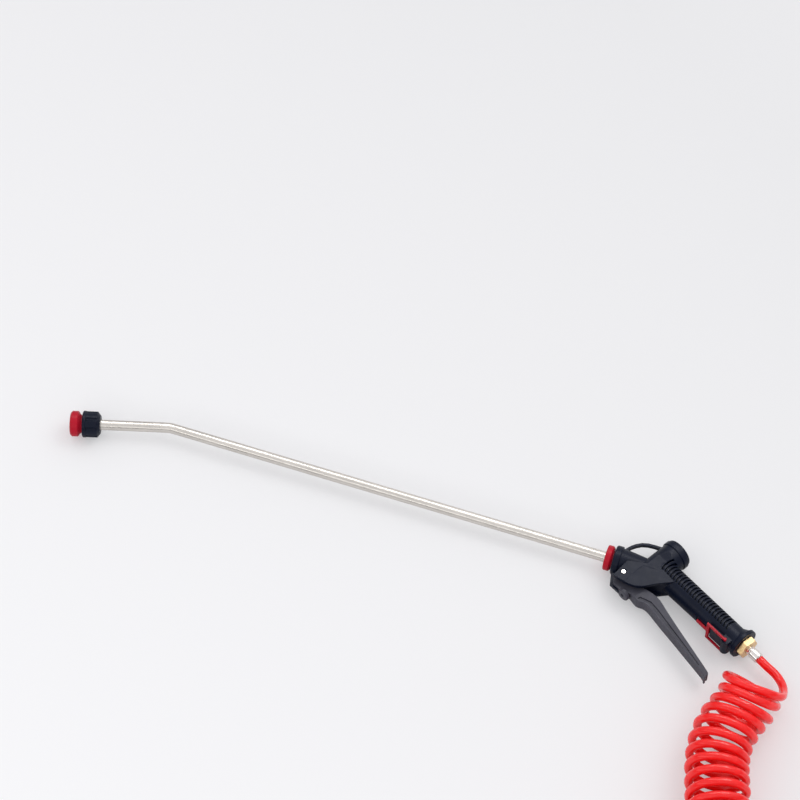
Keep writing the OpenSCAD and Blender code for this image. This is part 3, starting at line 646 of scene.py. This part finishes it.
class LANCE_OT_stage(bpy.types.Operator):
    """Sets the camera, the pale floor, the lamps and the room light"""

    bl_idname = "lance.stage"
    bl_label = "Stage"

    def execute(self, context):
        s = context.scene.lance_stage
        data = bpy.data.cameras.new("camera")
        camera = bpy.data.objects.new("camera", data)
        data.lens, data.sensor_width = s.lens, 36.0
        data.clip_start, data.clip_end = 0.1, 50.0
        camera.location = (0.2907, -1.4697, 2.6036)
        camera.rotation_euler = (math.radians(33), 0, math.radians(19.15))
        context.scene.collection.objects.link(camera)
        context.scene.camera = camera
        self.floor(s)
        self.room(context.scene, s)
        self.lamp("key", (0.8, 0.95, 1.95), (1.5, 1.2), s.key_power)
        self.lamp("front", (-0.75, -2.3, 1.25), (2.2, 0.32), s.fill_power)
        self.lamp("left", (-2.0, -1.4, 1.0), (1.2, 0.6), s.side_power)
        self.lamp("back", (0.5, 2.3, 0.6), (3.0, 0.7), s.back_power)
        strip = self.lamp("strip", (-0.15, 1.0, 1.72), (2.6, 0.45), s.strip_power)
        strip.visible_diffuse = False
        return {"FINISHED"}

    def floor(self, s):
        """A flat square whose colour is painted brighter towards the near left, a painted fall of light.
        """
        mesh = bpy.data.meshes.new("floor")
        reach = 9.0
        mesh.from_pydata(
            [(-reach, -reach, 0), (reach, -reach, 0), (reach, reach, 0), (-reach, reach, 0)],
            [], [(0, 1, 2, 3)],
        )
        floor = bpy.data.objects.new("floor", mesh)
        bpy.context.scene.collection.objects.link(floor)
        f = Finish("floor")
        at = f.place()
        # Painted light: a fall of light painted into the floor's colour, brighter towards the near left.
        painted_light_slope = f.part(at, "X") * -0.45 + f.part(at, "Y") * -0.75
        body = f.mix(painted_light_slope.over(-0.42, 0.5), lighter(s.floor, 0.93), lighter(s.floor, 1.085))
        f.surface(Base_Color=body, Roughness=0.9, Specular_IOR_Level=0.1)
        f.glow_to_camera(body, 0.36)
        mesh.materials.append(f.material)

    def room(self, scene, s):
        """A pale room: even overhead and dim near the horizon, where only the
        camera sees it as pale as the floor."""
        world = bpy.data.worlds.new("room")
        scene.world = world
        world.use_nodes = True
        tree = world.node_tree
        tree.nodes.clear()
        new, link = tree.nodes.new, tree.links.new
        way = new("ShaderNodeTexCoord")
        split = new("ShaderNodeSeparateXYZ")
        link(way.outputs["Generated"], split.inputs[0])
        ramp = new("ShaderNodeValToRGB")
        stops = ramp.color_ramp.elements
        stops[0].position, stops[0].color = 0.0, (0.18, 0.18, 0.185, 1)
        stops[1].position, stops[1].color = 0.5, (0.98, 0.98, 1.0, 1)
        middle = stops.new(0.22)
        middle.color = (0.5, 0.5, 0.51, 1)
        link(split.outputs["Z"], ramp.inputs[0])
        lit = new("ShaderNodeBackground")
        lit.inputs["Strength"].default_value = s.sky
        link(ramp.outputs[0], lit.inputs["Color"])
        seen = new("ShaderNodeBackground")
        seen.inputs["Color"].default_value = (0.83, 0.83, 0.845, 1)
        ray = new("ShaderNodeLightPath")
        mix = new("ShaderNodeMixShader")
        link(ray.outputs["Is Camera Ray"], mix.inputs[0])
        link(lit.outputs[0], mix.inputs[1])
        link(seen.outputs[0], mix.inputs[2])
        end = new("ShaderNodeOutputWorld")
        link(mix.outputs[0], end.inputs["Surface"])

    def lamp(self, name, place, spread, power):
        """A rectangular lamp that faces the middle of the lance."""
        data = bpy.data.lights.new(name, "AREA")
        data.shape = "RECTANGLE"
        data.size, data.size_y = spread
        data.energy = power
        data.color = (1.0, 0.99, 0.975)
        lamp = bpy.data.objects.new(name, data)
        bpy.context.scene.collection.objects.link(lamp)
        lamp.location = place
        aim = np.array([-0.1, -0.05, 0.0]) - np.array(place)
        lamp.rotation_euler = Vector(aim).to_track_quat("-Z", "Y").to_euler()
        return lamp


class LANCE_OT_hose(bpy.types.Operator):
    """Lays the hose from its stem through the lead and every turn of the coil"""

    bl_idname = "lance.hose"
    bl_label = "Coiled hose"

    def execute(self, context):
        s = context.scene.lance_hose
        line = hose_route(s.coil_radius / MM, s.turns)
        mesh = tube_mesh("hose", line, (0, 0, 1), s.diameter / 2 / MM, s.sides)
        skin = finish("red_hose", clear_hose, tuple(s.colour))
        hose = new_piece("hose", mesh, skin, "gun")
        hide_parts("hose_lead", "hose_curls")
        return {"FINISHED"}


class LANCE_OT_gun(bpy.types.Operator):
    """Finishes the handle, the valve cap and the trigger's pin"""

    bl_idname = "lance.gun"
    bl_label = "Gun"

    def execute(self, context):
        s = context.scene.lance_plastic
        black = finish("black_plastic", moulded, tuple(s.black), rough=0.36, edge=0.7, wear=2.0)
        coat_nodes(black, "black_plastic", "valve_cap")
        housing = finish(
            "gun_housing", moulded, tuple(s.black), rough=0.36, edge=0.7, wear=2.0, field=plate_creases
        )
        coat_nodes(housing, "black_plastic", "body")
        coat_nodes(nickel_finish(context), "nickel", "trigger_pin")
        return {"FINISHED"}


class LANCE_OT_trigger(bpy.types.Operator):
    """Finishes the trigger and its adjusting screw"""

    bl_idname = "lance.trigger"
    bl_label = "Trigger"

    def execute(self, context):
        s = context.scene.lance_plastic
        grey = finish("grey_plastic", moulded, tuple(s.grey), rough=0.4, edge=0.6, wear=1.5)
        coat_nodes(grey, "grey_plastic", "trigger")
        coat_nodes(steel_finish(context), "steel", "adjuster")
        return {"FINISHED"}


class LANCE_OT_red_parts(bpy.types.Operator):
    """Finishes the lock clip, the lance's lock nut and the nozzle cap"""

    bl_idname = "lance.red_parts"
    bl_label = "Clip, lock nut and cap"

    def execute(self, context):
        s = context.scene.lance_plastic
        red = finish("red_plastic", moulded, tuple(s.red), rough=0.38, edge=0.45, wear=1.35, cloud=0.08)
        coat_nodes(red, "red_plastic", "lock_clip", "lance_nut", "nozzle_cap")
        coat_nodes(steel_finish(context), "steel", "clip_pin")
        return {"FINISHED"}


class LANCE_OT_lance(bpy.types.Operator):
    """Finishes the steel tube, the nozzle body and its nut"""

    bl_idname = "lance.lance"
    bl_label = "Tube and nozzle"

    def execute(self, context):
        s = context.scene.lance_plastic
        coat_nodes(steel_finish(context), "steel", "lance_tube")
        black = finish("black_plastic", moulded, tuple(s.black), rough=0.36, edge=0.7, wear=2.0)
        coat_nodes(black, "black_plastic", "nozzle_nut", "nozzle_body")
        return {"FINISHED"}


class LANCE_OT_fittings(bpy.types.Operator):
    """Finishes the brass adapters and the nickel-plated stem and nuts"""

    bl_idname = "lance.fittings"
    bl_label = "Hose fittings"

    def execute(self, context):
        s = context.scene.lance_metal
        brass = finish("brass", turned_metal, tuple(s.brass), 0.24, dull=(0.62, 0.5, 0.36))
        coat_nodes(brass, "brass", "inlet_adapter", "far_connector")
        coat_nodes(nickel_finish(context), "nickel", "hose_stem", "hose_nut", "far_nut")
        return {"FINISHED"}


class LANCE_OT_inner_parts(bpy.types.Operator):
    """Finishes the valve's works, the seals, the filter and the washers"""

    bl_idname = "lance.inner_parts"
    bl_label = "Inner parts"

    def execute(self, context):
        s = context.scene.lance_plastic
        metal = context.scene.lance_metal
        rubber = finish("rubber", plain_rubber, (0.012, 0.012, 0.013))
        white = finish("white_plastic", moulded, tuple(s.white), rough=0.45, edge=0.2, wear=1.1)
        brass = finish("brass", turned_metal, tuple(metal.brass), 0.24, dull=(0.62, 0.5, 0.36))
        steel = steel_finish(context)
        for node, slot in INNER.items():
            coat_nodes(
                {"rubber": rubber, "white_plastic": white, "brass": brass, "steel": steel}[slot],
                slot, node,
            )
        return {"FINISHED"}


INNER = {
    "cap_seal": "rubber",
    "poppet": "rubber",
    "stem_seal": "rubber",
    "lance_seal": "rubber",
    "nozzle_seal": "rubber",
    "inlet_washer": "rubber",
    "valve_seat": "brass",
    "gland_nut": "brass",
    "valve_stem": "steel",
    "valve_spring": "steel",
    "lance_ferrule": "white_plastic",
    "swirl_core": "white_plastic",
    "inlet_filter": "white_plastic",
}


def steel_finish(context):
    """The satin stainless finish of the tube, pins and stem."""
    return finish("steel", drawn_steel, tuple(context.scene.lance_metal.steel))


def nickel_finish(context):
    """The bright plated finish of the hose fittings and the trigger's pin."""
    return finish("nickel", turned_metal, tuple(context.scene.lance_metal.nickel), 0.1, marks=0.002)


# ---------------------------------------------------------------- add-on

STEPS = ("stage", "hose", "gun", "trigger", "red_parts", "lance", "fittings", "inner_parts")


class LANCE_PT_panel(bpy.types.Panel):
    bl_label = "Spray lance"
    bl_idname = "LANCE_PT_panel"
    bl_space_type = "VIEW_3D"
    bl_region_type = "UI"
    bl_category = "Spray lance"

    def draw(self, context):
        for step in STEPS:
            self.layout.operator("lance." + step)
        for group in GROUPS:
            box = self.layout.box()
            values = getattr(context.scene, group)
            for key in values.bl_rna.properties.keys():
                if key not in ("rna_type", "name"):
                    box.prop(values, key)


GROUPS = {
    "lance_stage": LanceStageSettings,
    "lance_hose": LanceHoseSettings,
    "lance_plastic": LancePlasticSettings,
    "lance_metal": LanceMetalSettings,
}
CLASSES = (
    *GROUPS.values(),
    LANCE_OT_stage,
    LANCE_OT_hose,
    LANCE_OT_gun,
    LANCE_OT_trigger,
    LANCE_OT_red_parts,
    LANCE_OT_lance,
    LANCE_OT_fittings,
    LANCE_OT_inner_parts,
    LANCE_PT_panel,
)


def register():
    for cls in CLASSES:
        bpy.utils.register_class(cls)
    for name, group in GROUPS.items():
        setattr(bpy.types.Scene, name, PointerProperty(type=group))


def unregister():
    for name in GROUPS:
        delattr(bpy.types.Scene, name)
    for cls in reversed(CLASSES):
        bpy.utils.unregister_class(cls)


def main():
    """Builds every piece in order."""
    register()
    for step in STEPS:
        getattr(bpy.ops.lance, step)()
    scene = bpy.context.scene
    scene.view_settings.view_transform = "Standard"


if __name__ == "__main__":
    main()
